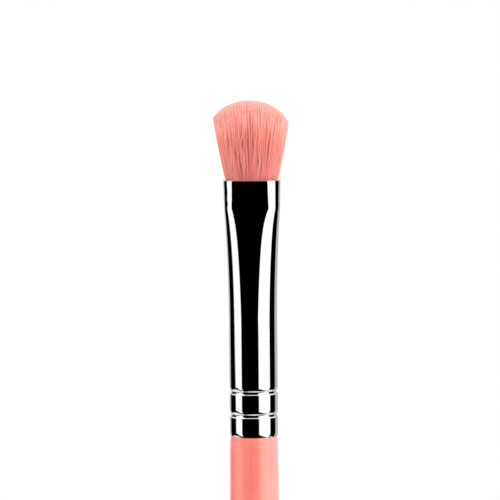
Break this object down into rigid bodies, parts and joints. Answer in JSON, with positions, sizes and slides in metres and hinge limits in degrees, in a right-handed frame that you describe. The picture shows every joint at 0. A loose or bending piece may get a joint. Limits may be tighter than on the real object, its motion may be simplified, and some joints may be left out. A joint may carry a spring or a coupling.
{
  "type": "make-up brush",
  "caption": "Slim make-up brush with a domed, flaring filament tuft, a polished ferrule pressed oval at its mouth and a turned, lacquered handle.",
  "frame": {"origin": "middle of the flat at the handle's butt end; the brush stands on it with the tuft up", "axes": "+Z along the brush from butt end to tuft; X across the wide way of the flattened tuft; Y through its thin way"},
  "size_m": [0.0106, 0.0072, 0.172],
  "materials": {
    "wood": "bare turned wood, sealed under the lacquer",
    "lacquer": "salmon pink lacquer, glossy",
    "ferrule_chrome": "chrome plated metal tube, mirror polish",
    "glue": "set contact glue",
    "resin": "cast epoxy resin",
    "thread": "waxed polyester thread",
    "filament": "salmon pink synthetic filament, tapered tips"
  },
  "bodies": {
    "handle": {"handle_core": "wood", "handle_lacquer": "lacquer", "ferrule": "ferrule_chrome", "tenon_glue": "glue", "resin_plug": "resin", "binding_thread": "thread", "filament_roots": "filament"},
    "tuft": {"filament_tuft": "filament"}
  },
  "joints": [
    {"name": "tuft_flex", "type": "hinge", "parent": "handle", "child": "tuft", "pos_m": [0, 0, 0.1613], "axis": [1, 0, 0], "range_deg": [-35, 35], "stiffness_Nm_per_rad": 0.01}
  ]
}
